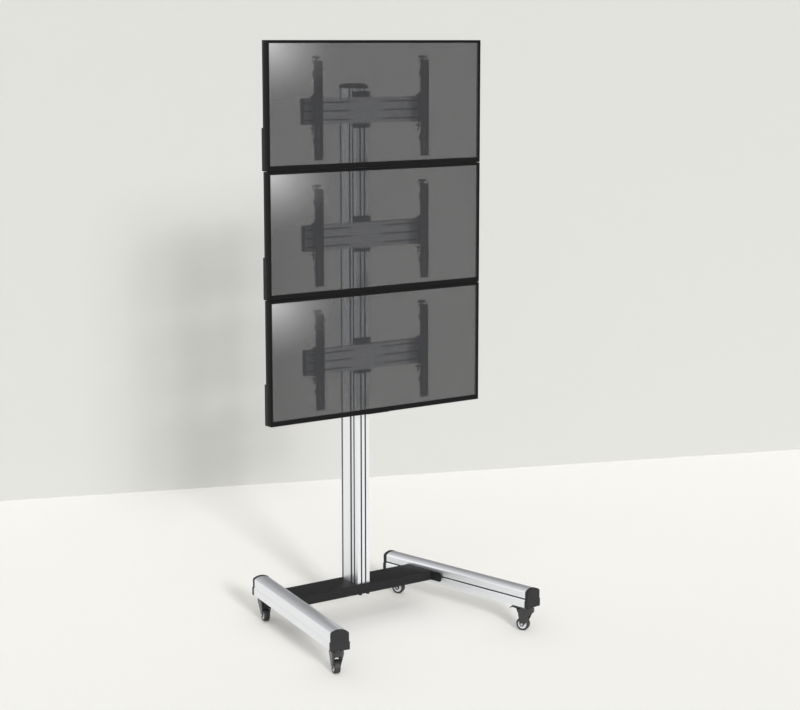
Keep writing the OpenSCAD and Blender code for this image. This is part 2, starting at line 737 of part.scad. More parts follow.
column();
column_cap();
column_foot();
cross_beam();
base_bolts();
left_leg();
right_leg();
end_caps();
caster_stems();
caster_fork(-1, -1, turn_front_left);  // caster_fork_front_left
caster_fork(1, -1, turn_front_right);  // caster_fork_front_right
caster_fork(-1, 1, turn_rear_left);  // caster_fork_rear_left
caster_fork(1, 1, turn_rear_right);  // caster_fork_rear_right
caster_wheel(-1, -1, turn_front_left);  // caster_wheel_front_left
caster_wheel(1, -1, turn_front_right);  // caster_wheel_front_right
caster_wheel(-1, 1, turn_rear_left);  // caster_wheel_rear_left
caster_wheel(1, 1, turn_rear_right);  // caster_wheel_rear_right
brake_pedal(-1, -1, turn_front_left);  // brake_pedal_front_left
brake_pedal(1, -1, turn_front_right);  // brake_pedal_front_right
brake_pedal(-1, 1, turn_rear_left);  // brake_pedal_rear_left
brake_pedal(1, 1, turn_rear_right);  // brake_pedal_rear_right
upper_clamps();
lower_clamp();
rail(0);  // rail_top
rail(1);  // rail_mid
rail(2);  // rail_low
lower_rail_caps();
hangers(0);  // hangers_top
hangers(1);  // hangers_mid
hangers(2);  // hangers_low
strips(0);  // strips_top
strips(1);  // strips_mid
strips(2);  // strips_low
frame(0);  // frame_top
frame(1);  // frame_mid
frame(2);  // frame_low
screen(0);  // screen_top
screen(1);  // screen_mid
screen(2);  // screen_low
rear_cover(0);  // rear_cover_top
rear_cover(1);  // rear_cover_mid
rear_cover(2);  // rear_cover_low
height_knob(0, -1);  // height_knob_top_left
height_knob(0, 1);  // height_knob_top_right
height_knob(1, -1);  // height_knob_mid_left
height_knob(1, 1);  // height_knob_mid_right
height_knob(2, -1);  // height_knob_low_left
height_knob(2, 1);  // height_knob_low_right
depth_knob(0, -1, 0);  // depth_knob_top_left_upper
depth_knob(0, -1, 1);  // depth_knob_top_left_lower
depth_knob(0, 1, 0);  // depth_knob_top_right_upper
depth_knob(0, 1, 1);  // depth_knob_top_right_lower
depth_knob(1, -1, 0);  // depth_knob_mid_left_upper
depth_knob(1, -1, 1);  // depth_knob_mid_left_lower
depth_knob(1, 1, 0);  // depth_knob_mid_right_upper
depth_knob(1, 1, 1);  // depth_knob_mid_right_lower
depth_knob(2, -1, 0);  // depth_knob_low_left_upper
depth_knob(2, -1, 1);  // depth_knob_low_left_lower
depth_knob(2, 1, 0);  // depth_knob_low_right_upper
depth_knob(2, 1, 1);  // depth_knob_low_right_lower
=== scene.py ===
"""Looks of a mobile video wall stand: three see-through displays on one extruded column with a castor base.

Everything is in metres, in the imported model's own frame: X along the displays, -Y to the viewer, Z up.
"""

import json
import math

import bmesh
import bpy
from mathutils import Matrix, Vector


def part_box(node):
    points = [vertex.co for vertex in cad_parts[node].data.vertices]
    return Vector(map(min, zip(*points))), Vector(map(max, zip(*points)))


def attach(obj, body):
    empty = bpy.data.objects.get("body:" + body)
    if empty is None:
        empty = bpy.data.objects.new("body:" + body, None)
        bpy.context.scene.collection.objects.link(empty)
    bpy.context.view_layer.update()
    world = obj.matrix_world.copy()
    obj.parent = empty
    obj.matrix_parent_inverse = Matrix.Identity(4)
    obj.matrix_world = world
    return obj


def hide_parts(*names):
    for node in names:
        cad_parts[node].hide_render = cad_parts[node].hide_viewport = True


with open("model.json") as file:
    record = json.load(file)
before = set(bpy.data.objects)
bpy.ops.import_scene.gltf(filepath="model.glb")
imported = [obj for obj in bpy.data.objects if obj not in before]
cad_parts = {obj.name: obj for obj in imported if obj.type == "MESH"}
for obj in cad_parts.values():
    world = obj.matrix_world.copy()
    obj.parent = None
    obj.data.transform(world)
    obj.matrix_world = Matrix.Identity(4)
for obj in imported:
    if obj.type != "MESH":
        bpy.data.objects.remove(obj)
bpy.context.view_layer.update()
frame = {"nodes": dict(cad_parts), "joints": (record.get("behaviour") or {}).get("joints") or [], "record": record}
nodes = frame["nodes"]
scene = bpy.context.scene
scene.view_settings.view_transform = "Standard"


# Viewpoint
# A viewer stands to the left of the stand and looks a little down on it.
# The lens is long, so the uprights stay nearly parallel.
viewer_spot = (-4.994, -7.136, 2.800)
viewer_tilt = math.radians(80.47)
viewer_turn = math.radians(-35.58)
camera_data = bpy.data.cameras.new("viewer")
camera_data.lens = 84.19
camera_data.sensor_width = 36
camera_data.clip_end = 60
camera = bpy.data.objects.new("viewer", camera_data)
camera.location = viewer_spot
camera.rotation_euler = (viewer_tilt, 0, viewer_turn)
scene.collection.objects.link(camera)
scene.camera = camera


# Room
# A pale floor runs up to a pale wall behind the stand, both of matt paint.
# The wall stands 3 m behind the stand, turned a little from the displays.
floor_paint = (0.895, 0.886, 0.855)
wall_paint = (0.482, 0.482, 0.466)
paint_roughness = 0.9
paint_gloss = 0.1
room_reach = 14
wall_foot = Vector((1.95, 2.57, 0))
wall_turn = math.radians(-19.8)
wall_height = 8


def place_node(tree, kind, x=0, y=0, **sockets):
    """Adds a shader or geometry node and sets the named input sockets."""
    made = tree.nodes.new(kind)
    made.location = (x, y)
    for name, value in sockets.items():
        made.inputs[name.replace("_", " ")].default_value = value
    return made


def wire(tree, *pairs):
    """Links each output socket to the input socket that it is paired with."""
    for source, target in pairs:
        tree.links.new(source, target)


def worked_out(tree, operation, x, y, *terms):
    """Adds a Math node whose terms are numbers or other nodes' sockets, and returns its result."""
    made = place_node(tree, "ShaderNodeMath", x, y)
    made.operation = operation
    for socket, term in zip(made.inputs, terms):
        if isinstance(term, bpy.types.NodeSocket):
            tree.links.new(term, socket)
        else:
            socket.default_value = term
    return made.outputs[0]


def seen_from_front(tree, x):
    """One on faces that are turned to the eye, zero on faces that are seen from behind."""
    facing = place_node(tree, "ShaderNodeNewGeometry", x)
    return worked_out(tree, "SUBTRACT", x + 200, 0, 1.0, facing.outputs["Backfacing"])


def new_material(name):
    """An empty material with one Principled shader; returns the material, its tree and the shader."""
    made = bpy.data.materials.new(name)
    made.use_nodes = True
    tree = made.node_tree
    return made, tree, tree.nodes["Principled BSDF"]


def painted_room(name, colour, clear_behind=False):
    """Matt paint; a wall is clear from behind, so the stand can be looked at from there."""
    made, tree, shader = new_material(name)
    shader.inputs["Base Color"].default_value = (*colour, 1)
    shader.inputs["Roughness"].default_value = paint_roughness
    shader.inputs["Specular IOR Level"].default_value = paint_gloss
    if clear_behind:
        wire(tree, (seen_from_front(tree, -500), shader.inputs["Alpha"]))
    return made


def quad(name, corners):
    """One four-cornered face."""
    mesh = bpy.data.meshes.new(name)
    mesh.from_pydata([tuple(c) for c in corners], [], [range(len(corners))])
    made = bpy.data.objects.new(name, mesh)
    scene.collection.objects.link(made)
    return made


floor = quad("floor", [(-room_reach, -room_reach, 0), (room_reach, -room_reach, 0),
                       (room_reach, room_reach, 0), (-room_reach, room_reach, 0)])
floor.data.materials.append(painted_room("floor_paint", floor_paint))
wall_along = Vector((math.cos(wall_turn), math.sin(wall_turn), 0)) * room_reach
wall_up = Vector((0, 0, wall_height))
wall = quad("wall", [wall_foot - wall_along, wall_foot + wall_along,
                     wall_foot + wall_along + wall_up, wall_foot - wall_along + wall_up])
wall.data.materials.append(painted_room("wall_paint", wall_paint, clear_behind=True))
wall.visible_glossy = False


# Lamps
# A pale surround lights everything evenly; metal sees it darker towards the right and rear.
# A low soft sun in front gives the stand its long shadow, and a broad lamp near the viewer fills it.
surround_bright = 1.10
surround_dark = 0.20
surround_light = 0.56
surround_seen = 0.76
dark_side = (0.90, 0.44, 0.0)
dark_from, dark_to = -0.2, 0.85
world = bpy.data.worlds.new("surround")
world.use_nodes = True
scene.world = world
sky = world.node_tree
surround = sky.nodes["Background"]
surround.inputs["Color"].default_value = (1, 1, 1, 1)
direction = place_node(sky, "ShaderNodeTexCoord", -800)
towards = place_node(sky, "ShaderNodeVectorMath", -600)
towards.operation = "DOT_PRODUCT"
towards.inputs[1].default_value = dark_side
level_across = place_node(sky, "ShaderNodeMapRange", -400, 0, From_Min=dark_from, From_Max=dark_to,
                          To_Min=surround_bright, To_Max=surround_dark)
level_across.interpolation_type = "SMOOTHSTEP"
ray = place_node(sky, "ShaderNodeLightPath", -400, 300)
looked_at = worked_out(sky, "MAXIMUM", -200, 300, ray.outputs["Is Camera Ray"],
                       ray.outputs["Is Transmission Ray"])
lit_level = place_node(sky, "ShaderNodeMix", -200, 0, A=surround_light)
seen_level = place_node(sky, "ShaderNodeMix", 0, 0, B=surround_seen)
wire(sky, (direction.outputs["Generated"], towards.inputs[0]),
     (towards.outputs["Value"], level_across.inputs["Value"]),
     (ray.outputs["Is Glossy Ray"], lit_level.inputs["Factor"]),
     (level_across.outputs["Result"], lit_level.inputs["B"]),
     (looked_at, seen_level.inputs["Factor"]),
     (lit_level.outputs["Result"], seen_level.inputs["A"]),
     (seen_level.outputs["Result"], surround.inputs["Strength"]))
lit_spot = Vector((0, 0, 0.6))


def sun_lamp(name, spot, energy, spread, in_metal):
    """Light from the side of spot, spread over some degrees; in_metal shows it in reflections."""
    data = bpy.data.lights.new(name, "SUN")
    data.energy = energy
    data.angle = math.radians(spread)
    made = bpy.data.objects.new(name, data)
    made.visible_glossy = in_metal
    made.location = spot
    made.rotation_euler = (lit_spot - Vector(spot)).to_track_quat("-Z", "Y").to_euler()
    scene.collection.objects.link(made)


sun_lamp("sun", (-1.26, -4.54, 2.27), energy=2.3, spread=9, in_metal=True)
sun_lamp("viewer_fill", (-3.4, -5.2, 5.4), energy=0.8, spread=60, in_metal=False)


# Legs
# Two hollow aluminium extrusions, arched on top, with a step and a slot along their sides.
# They are anodised to a satin silver, and the die leaves fine lines along them.
# The faces inside each leg's inner slot get painted shade, a dark colour standing in for the shade there.
leg_toe = math.radians(10.1)
leg_centre_x = 0.4715
leg_side = 0.0405
leg_slot_low, leg_slot_high = 0.1605, 0.1735
silver = (0.865, 0.88, 0.91)
silver_roughness = 0.34
silver_metallic = 0.9
# Painted shade: a dark colour painted on the faces inside slots and grooves, standing in for the shade there.
painted_shade_colour = (0.12, 0.12, 0.125)
painted_shade_roughness = 0.5
lines_across, lines_along = 420, 1.2
lines_strength, lines_height = 0.25, 0.00006
weld_gap = 1e-5
smooth_within = 28
FLOAT, COLOUR, VECTOR = "NodeSocketFloat", "NodeSocketColor", "NodeSocketVector"


def surface_group(name, share_name, share, colour, roughness, spread):
    """Starts a group that varies a colour by a named share and a roughness by a spread."""
    group = bpy.data.node_groups.new(name, "ShaderNodeTree")
    for label, kind, default in (("Vector", VECTOR, None), ("Color", COLOUR, (*colour, 1)),
                                 ("Roughness", FLOAT, roughness), (share_name, FLOAT, share),
                                 ("Roughness Spread", FLOAT, spread)):
        socket = group.interface.new_socket(name=label, in_out="INPUT", socket_type=kind)
        if default is not None:
            socket.default_value = default
    for label, kind in (("Color", COLOUR), ("Roughness", FLOAT), ("Height", FLOAT)):
        group.interface.new_socket(name=label, in_out="OUTPUT", socket_type=kind)
    return group, place_node(group, "NodeGroupInput", -700), place_node(group, "NodeGroupOutput", 700)


def group_noise(group, given, y, scale, detail, roughness):
    """A noise over the vector that the group is given; returns its value."""
    made = place_node(group, "ShaderNodeTexNoise", -450, y, Scale=scale, Detail=detail, Roughness=roughness)
    wire(group, (given.outputs["Vector"], made.inputs["Vector"]))
    return made.outputs["Fac"]


def vary(group, given, out, noise, share_name):
    """Lets a noise move the given colour and roughness up and down."""
    centred = worked_out(group, "SUBTRACT", -250, 100, noise, 0.5)
    shade = worked_out(group, "MULTIPLY_ADD", -60, 200, centred, given.outputs[share_name], 1.0)
    rough = worked_out(group, "MULTIPLY_ADD", 150, 0, centred, given.outputs["Roughness Spread"],
                       given.outputs["Roughness"])
    tinted = place_node(group, "ShaderNodeVectorMath", 150, 200)
    tinted.operation = "SCALE"
    wire(group, (given.outputs["Color"], tinted.inputs[0]), (shade, tinted.inputs["Scale"]),
         (tinted.outputs[0], out.inputs["Color"]), (rough, out.inputs["Roughness"]))


def die_lines_group():
    """Fine lines that run along an extrusion: the vector comes in already stretched along it."""
    group, given, out = surface_group("die_lines", "Contrast", share=0.08, colour=(0.8, 0.8, 0.8),
                                      roughness=0.35, spread=0.12)
    lines = group_noise(group, given, 100, scale=1.0, detail=5.0, roughness=0.6)
    vary(group, given, out, lines, "Contrast")
    wire(group, (lines, out.inputs["Height"]))
    return group


die_lines = die_lines_group()


def object_vector(tree, turn=(0, 0, 0), scale=(1, 1, 1), shift=(0, 0, 0)):
    """Object coordinates, turned, stretched and moved by a Mapping node."""
    where = place_node(tree, "ShaderNodeTexCoord", -1300)
    mapping = place_node(tree, "ShaderNodeMapping", -1100, Location=shift, Rotation=turn, Scale=scale)
    wire(tree, (where.outputs["Object"], mapping.inputs["Vector"]))
    return mapping.outputs["Vector"]


def surface_effect(tree, shader, group, vector, strength, height, **values):
    """Places a surface group in a material and joins its colour, roughness and height to the shader."""
    effect = place_node(tree, "ShaderNodeGroup", -700)
    effect.node_tree = group
    for name, value in values.items():
        effect.inputs[name].default_value = value
    raised = place_node(tree, "ShaderNodeBump", -300, -300, Strength=strength, Distance=height)
    wire(tree, (vector, effect.inputs["Vector"]),
         (effect.outputs["Color"], shader.inputs["Base Color"]),
         (effect.outputs["Roughness"], shader.inputs["Roughness"]),
         (effect.outputs["Height"], raised.inputs["Height"]),
         (raised.outputs["Normal"], shader.inputs["Normal"]))


def anodised(name, along, turn=0.0, colour=silver, roughness=silver_roughness):
    """Satin anodised aluminium with die lines along one axis, 'X', 'Y' or 'Z'."""
    made, tree, shader = new_material(name)
    shader.inputs["Metallic"].default_value = silver_metallic
    stretch = [lines_across] * 3
    stretch["XYZ".index(along)] = lines_along
    surface_effect(tree, shader, die_lines, object_vector(tree, (0, 0, turn), stretch), lines_strength,
                   lines_height, Color=(*colour, 1), Roughness=roughness)
    return made


def dress(node, material):
    """Gives a CAD node its finish."""
    nodes[node].data.materials.clear()
    nodes[node].data.materials.append(material)


def link(name, mesh, material, slot_name, body, *stands_for):
    """Makes a finished mesh a piece that rides on a body and stands for CAD nodes."""
    made = bpy.data.objects.new(name, mesh)
    scene.collection.objects.link(made)
    if material is not None:
        made.data.materials.clear()
        made.data.materials.append(material)
    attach(made, body)
    if stands_for:
        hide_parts(*stands_for)
    return made


def body_with(node):
    """The name of the body that holds a CAD node."""
    for name, members in frame["record"]["behaviour"]["bodies"].items():
        if node in members:
            return name
    raise ValueError(node)


def welded(node):
    """A copy of a node's mesh, and its shape with the doubled corners joined, ready to be worked on."""
    mesh = nodes[node].data.copy()
    work = bmesh.new()
    work.from_mesh(mesh)
    bmesh.ops.remove_doubles(work, verts=work.verts, dist=weld_gap)
    return mesh, work


def link_finished(node, mesh, material, slot_name):
    """Makes a worked copy of a node's mesh the piece that stands for it, with flat faces kept flat."""
    made = link(node + "_finished", mesh, material, slot_name, body_with(node), node)
    made.modifiers.new("shading", "WEIGHTED_NORMAL").keep_sharp = True
    return made


def smoothed(node, material, slot_name, shade, painted_shade_mask):
    """A node's own shape, shaded smooth over shallow angles; faces inside a recess get the painted shade material.
    """
    mesh, work = welded(node)
    work.to_mesh(mesh)
    work.free()
    mesh.materials.clear()
    mesh.materials.append(material)
    mesh.materials.append(shade)
    for face in mesh.polygons:
        face.use_smooth = True
        face.material_index = int(painted_shade_mask(face.center))
    mesh.set_sharp_from_angle(angle=math.radians(smooth_within))
    link_finished(node, mesh, None, slot_name)


for side, node in ((-1, "left_leg"), (1, "right_leg")):
    def in_slot(spot, side=side):
        """Tells whether a place on the leg lies inside the slot of its inner side, where shade is painted."""
        across = (spot.x - side * (leg_centre_x - spot.y * math.tan(leg_toe))) * math.cos(leg_toe)
        return abs(across) < leg_side and leg_slot_low < spot.z < leg_slot_high

    smoothed(node, anodised(node + "_anodising", "Y", -side * leg_toe), "anodised_aluminium",
             anodised(node + "_recess", "Y", -side * leg_toe, painted_shade_colour, painted_shade_roughness), in_slot)


# Cross beam
# A folded steel channel with two welded end plates, black powder coat over it all.
# The folds are rounded, so they catch the light.
fold_outer = 0.007
outer_steps, inner_steps = 5, 3
sheet_t = 0.004
beam_low, beam_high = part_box("cross_beam")
beam_depth = 0.174
plate_t = 0.005
plate_cut = 0.008
plate_front_gap, plate_rear_gap = 0.0002, 0.0012
leg_half_w = 0.045
fold_sharp = 35
flat_within = 1
grain_height = 0.00005
lacquer_roughness = 0.25


def coat_group():
    """The fine orange peel of powder coat or moulded plastic, with slightly paler worn patches."""
    group, given, out = surface_group("coat_grain", "Patch", share=0.25, colour=(0.03, 0.03, 0.03),
                                      roughness=0.4, spread=0.15)
    grain = group_noise(group, given, 0, scale=1400.0, detail=2.0, roughness=0.5)
    patches = group_noise(group, given, 250, scale=22.0, detail=4.0, roughness=0.6)
    vary(group, given, out, patches, "Patch")
    wire(group, (grain, out.inputs["Height"]))
    return group


coat_grain = coat_group()


def coated(name, colour, roughness, bump=0.25, metallic=0.0, coat=0.0, gloss=0.5):
    """A coated or moulded surface with its own fine grain."""
    made, tree, shader = new_material(name)
    shader.inputs["Metallic"].default_value = metallic
    shader.inputs["Coat Weight"].default_value = coat
    shader.inputs["Coat Roughness"].default_value = lacquer_roughness
    shader.inputs["Specular IOR Level"].default_value = gloss
    surface_effect(tree, shader, coat_grain, object_vector(tree), bump, grain_height,
                   Color=(*colour, 1), Roughness=roughness)
    return made


def softened(node, edge, material, slot_name, segments=2, sharp=30, joined=True):
    """A node's own shape with its hard edges rounded, which stands for the node."""
    mesh, work = welded(node)
    if joined:
        bmesh.ops.dissolve_limit(work, angle_limit=math.radians(flat_within), verts=work.verts,
                                 edges=work.edges)
    hard = [e for e in work.edges if len(e.link_faces) == 2 and e.calc_face_angle() > math.radians(sharp)]
    bmesh.ops.bevel(work, geom=hard, offset=edge, offset_type="OFFSET", segments=segments, profile=0.5,
                    affect="EDGES", clamp_overlap=True)
    bmesh.ops.triangulate(work, faces=[f for f in work.faces if len(f.verts) > 4], ngon_method="EAR_CLIP")
    work.to_mesh(mesh)
    work.free()
    for face in mesh.polygons:
        face.use_smooth = True
    return link_finished(node, mesh, material, slot_name)


def arc_points(centre_r, centre_h, radius, start, end, steps):
    """Points along an arc, angles in degrees."""
    angles = [math.radians(start + (end - start) * i / steps) for i in range(steps + 1)]
    return [(centre_r + radius * math.cos(a), centre_h + radius * math.sin(a)) for a in angles]


def lofted(name, rings, closed=False):
    """Joins rings of points with quads; the ends are capped, or joined to each other when closed."""
    work = bmesh.new()
    loops = [[work.verts.new(point) for point in ring] for ring in rings]
    pairs = list(zip(loops, loops[1:])) + ([(loops[-1], loops[0])] if closed else [])
    for low, high in pairs:
        for step in range(len(low)):
            after = (step + 1) % len(low)
            work.faces.new([low[step], low[after], high[after], high[step]])
    if not closed:
        work.faces.new(list(reversed(loops[0])))
        work.faces.new(loops[-1])
    bmesh.ops.triangulate(work, faces=[f for f in work.faces if len(f.verts) > 4], ngon_method="EAR_CLIP")
    bmesh.ops.recalc_face_normals(work, faces=work.faces)
    mesh = bpy.data.meshes.new(name)
    work.to_mesh(mesh)
    work.free()
    mesh.polygons.foreach_set("use_smooth", [True] * len(mesh.polygons))
    mesh.set_sharp_from_angle(angle=math.radians(fold_sharp))
    return mesh


def leg_inner_x(y):
    """The inner face of the right leg at a place along Y."""
    return leg_centre_x - y * math.tan(leg_toe) - leg_half_w / math.cos(leg_toe)


def beam_channel():
    """The channel's section, front flange, top and rear flange, run from one leg to the other."""
    back = beam_high.y
    front = back - beam_depth
    low, top = beam_low.z, beam_high.z
    outer, inner = fold_outer, fold_outer - sheet_t
    front_fold, back_fold, fold_z = front + outer, back - outer, top - outer
    section = [(front, low)]
    section += arc_points(front_fold, fold_z, outer, 180, 90, outer_steps)
    section += arc_points(back_fold, fold_z, outer, 90, 0, outer_steps)
    section += [(back, low), (back - sheet_t, low)]
    section += arc_points(back_fold, fold_z, inner, 0, 90, inner_steps)
    section += arc_points(front_fold, fold_z, inner, 90, 180, inner_steps)
    section += [(front + sheet_t, low)]
    return lofted("beam_channel", [[(side * leg_inner_x(y), y, z) for y, z in section] for side in (-1, 1)])


def end_plate(side):
    """One welded end plate, flat against its leg, with its outer corners taken off."""
    toe_cos, toe_sin = math.cos(leg_toe), math.sin(leg_toe)
    across = leg_centre_x - (leg_half_w + plate_t) * toe_cos
    front = (beam_low.y + leg_half_w * toe_sin) / toe_cos
    back = (beam_high.y + leg_half_w * toe_sin) / toe_cos - plate_rear_gap
    low, top = beam_low.z, beam_high.z
    shape = [(front + plate_front_gap, low + plate_cut), (front + plate_cut, low), (back, low),
             (back, top), (front + plate_cut, top), (front + plate_front_gap, top - plate_cut)]

    def placed(along, height, depth):
        x = across + depth * toe_cos - along * toe_sin
        return side * x, along * toe_cos - (leg_half_w + plate_t - depth) * toe_sin, height

    return lofted("end_plate", [[placed(w, z, d) for w, z in shape] for d in (0.0, plate_t)])


def join_as(name, meshes_and_materials, slot_name, body, *stands_for):
    """Several meshes as one piece, each with its own finish."""
    work = bmesh.new()
    finishes = []
    for mesh, finish in meshes_and_materials:
        first = len(work.faces)
        work.from_mesh(mesh)
        work.faces.ensure_lookup_table()
        if finish not in finishes:
            finishes.append(finish)
        for face in work.faces[first:]:
            face.material_index = finishes.index(finish)
    merged = bpy.data.meshes.new(name)
    work.to_mesh(merged)
    work.free()
    for finish in finishes:
        merged.materials.append(finish)
    link(name, merged, None, slot_name, body, *stands_for)


beam_coat = coated("beam_powder_coat", (0.013, 0.013, 0.0135), roughness=0.5, gloss=0.14)
join_as("cross_beam_finished",
        [(beam_channel(), beam_coat), (end_plate(-1), beam_coat), (end_plate(1), beam_coat)],
        "black_steel", body_with("cross_beam"), "cross_beam")
dress("column_foot", coated("foot_plating", (0.32, 0.32, 0.33), roughness=0.4, metallic=0.8))
dress("base_bolts", coated("bolt_blacking", (0.035, 0.035, 0.037), roughness=0.35, metallic=0.6))


# Column
# One tall extrusion with two slots on its front, a slot and a groove on each side, and a cap.
# Its anodising matches the legs'.
# The faces inside its slots and grooves get the same painted shade.
column_low, column_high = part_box("column")
recess_depth = 0.001
column_cap_edge = 0.0012


def in_column_recess(spot):
    """Tells whether a place lies inside a slot or groove of the column, where shade is painted."""
    inside_x = column_low.x + recess_depth < spot.x < column_high.x - recess_depth
    return inside_x and column_low.y + recess_depth < spot.y < column_high.y - recess_depth


smoothed("column", anodised("column_anodising", "Z"), "anodised_aluminium",
         anodised("column_recess", "Z", 0.0, painted_shade_colour, painted_shade_roughness), in_column_recess)
cap_plastic = coated("cap_plastic", (0.024, 0.024, 0.0245), roughness=0.55, gloss=0.15)
softened("column_cap", column_cap_edge, cap_plastic, "black_plastic")


# End caps
# Moulded black plastic caps close the legs and the rails.
# They are pressed into the ends, and their rims are rounded.
leg_cap_edge, rail_cap_edge = 0.0015, 0.0008
softened("end_caps", leg_cap_edge, cap_plastic, "black_plastic")
softened("lower_rail_caps", rail_cap_edge, cap_plastic, "black_plastic")


# Castors
# A pressed black hood on a zinc-plated stem holds a rubber-tyred wheel with a pale hub.
# A brake pedal of black plastic tips on a pin through the hood.
corners = ["front_left", "front_right", "rear_left", "rear_right"]
hood_coat = coated("hood_coat", (0.020, 0.020, 0.021), roughness=0.32, coat=0.2)
pedal_plastic = coated("pedal_plastic", (0.016, 0.016, 0.016), roughness=0.45, gloss=0.3)
zinc = coated("zinc_plating", (0.66, 0.67, 0.69), roughness=0.3, metallic=0.95)
tyre_rubber = coated("tyre_rubber", (0.026, 0.026, 0.0265), roughness=0.55, bump=0.5, gloss=0.4)
hub_plastic = coated("hub_plastic", (0.62, 0.63, 0.64), roughness=0.35)
joints = {j["name"]: j for j in frame["joints"]}
hood_half = 0.019
hood_edge, pedal_edge = 0.0005, 0.0009
wheel_r = 0.032
rim_r = 0.0218
tyre_half = 0.014
tread_round = 0.005
tread_steps = 6
hub_dish = [(0.0042, 0.0145), (0.0085, 0.0145), (0.0095, 0.0120), (0.0120, 0.0100), (0.0165, 0.0100),
            (0.0185, 0.0132), (0.0217, 0.0136)]
axle_nut = {"Radius": 0.0062, "Height": 0.0030, "Socket": 0.0028}


def lathe(name, profile, spot, axis, sides=64, flutes=0, flute_depth=0.0, fluted=(), ringed=False):
    """Turns a profile of (radius, distance) points about an axis through spot, as a disc or a ring."""
    turn = Vector(axis).normalized().to_track_quat("Z", "Y")
    rings = []
    for index, (radius, height) in enumerate(profile):
        ring = []
        for step in range(sides):
            angle = 2 * math.pi * step / sides
            wave = math.cos(flutes * angle) if index in fluted else 0.0
            around = radius + flute_depth * wave
            local = Vector((around * math.cos(angle), around * math.sin(angle), height))
            ring.append(turn @ local + Vector(spot))
        rings.append(ring)
    return lofted(name, rings, ringed)


tread_r, tread_h = wheel_r - tread_round, tyre_half - tread_round
tyre_profile = [(rim_r, -tyre_half)] + arc_points(tread_r, -tread_h, tread_round, -90, 0, tread_steps)
tyre_profile += arc_points(tread_r, tread_h, tread_round, 0, 90, tread_steps) + [(rim_r, tyre_half)]
hub_profile = [(r, -h) for r, h in hub_dish] + [(r, h) for r, h in reversed(hub_dish)]
for corner in corners:
    softened("caster_fork_" + corner, hood_edge, hood_coat, "black_steel", sharp=35, joined=False)
    softened("brake_pedal_" + corner, pedal_edge, pedal_plastic, "black_plastic")
    roll = joints["roll_" + corner]
    tyre = lathe("tyre", tyre_profile, roll["pos_m"], roll["axis"], ringed=True)
    hub = lathe("hub", hub_profile, roll["pos_m"], roll["axis"], ringed=True)
    join_as("wheel_" + corner + "_finished", [(tyre, tyre_rubber), (hub, hub_plastic)], "wheel_tyre",
            body_with("caster_wheel_" + corner), "caster_wheel_" + corner)
dress("caster_stems", zinc)


def screw_head_tree():
    """A round or six-sided head with a socket sunk in it, set on every point."""
    tree = bpy.data.node_groups.new("screw_heads", "GeometryNodeTree")
    tree.interface.new_socket(name="Geometry", in_out="INPUT", socket_type="NodeSocketGeometry")
    for label, kind, default in (("Radius", FLOAT, 0.004), ("Height", FLOAT, 0.003),
                                 ("Sides", "NodeSocketInt", 24), ("Socket", FLOAT, 0.002),
                                 ("Turn", VECTOR, None), ("Finish", "NodeSocketMaterial", None)):
        socket = tree.interface.new_socket(name=label, in_out="INPUT", socket_type=kind)
        if default is not None:
            socket.default_value = default
    tree.interface.new_socket(name="Geometry", in_out="OUTPUT", socket_type="NodeSocketGeometry")
    given = place_node(tree, "NodeGroupInput", -900).outputs
    out = place_node(tree, "NodeGroupOutput", 900)
    head = place_node(tree, "GeometryNodeMeshCylinder", -650, 200)
    hole = place_node(tree, "GeometryNodeMeshCylinder", -650, -100, Vertices=6)
    lift_head = place_node(tree, "ShaderNodeCombineXYZ", -650, -300)
    lift_hole = place_node(tree, "ShaderNodeCombineXYZ", -650, -420)
    lifted_head = place_node(tree, "GeometryNodeTransform", -420, 200)
    lifted_hole = place_node(tree, "GeometryNodeTransform", -420, -100)
    cut = place_node(tree, "GeometryNodeMeshBoolean", -200, 100)
    cut.operation = "DIFFERENCE"
    stand = place_node(tree, "GeometryNodeInstanceOnPoints", 50, 100)
    real = place_node(tree, "GeometryNodeRealizeInstances", 300, 100)
    finish = place_node(tree, "GeometryNodeSetMaterial", 550, 100)
    half = worked_out(tree, "MULTIPLY", -850, -250, given["Height"], 0.5)
    wire(tree, (half, lift_head.inputs["Z"]), (given["Height"], lift_hole.inputs["Z"]),
         (given["Height"], head.inputs["Depth"]), (given["Height"], hole.inputs["Depth"]),
         (given["Radius"], head.inputs["Radius"]), (given["Socket"], hole.inputs["Radius"]),
         (given["Sides"], head.inputs["Vertices"]),
         (head.outputs["Mesh"], lifted_head.inputs["Geometry"]),
         (hole.outputs["Mesh"], lifted_hole.inputs["Geometry"]),
         (lift_head.outputs[0], lifted_head.inputs["Translation"]),
         (lift_hole.outputs[0], lifted_hole.inputs["Translation"]),
         (lifted_head.outputs["Geometry"], cut.inputs["Mesh 1"]),
         (lifted_hole.outputs["Geometry"], cut.inputs["Mesh 2"]),
         (given["Geometry"], stand.inputs["Points"]), (cut.outputs["Mesh"], stand.inputs["Instance"]),
         (given["Turn"], stand.inputs["Rotation"]), (stand.outputs["Instances"], real.inputs["Geometry"]),
         (real.outputs["Geometry"], finish.inputs["Geometry"]),
         (given["Finish"], finish.inputs["Material"]), (finish.outputs["Geometry"], out.inputs["Geometry"]))
    return tree


screw_heads = screw_head_tree()


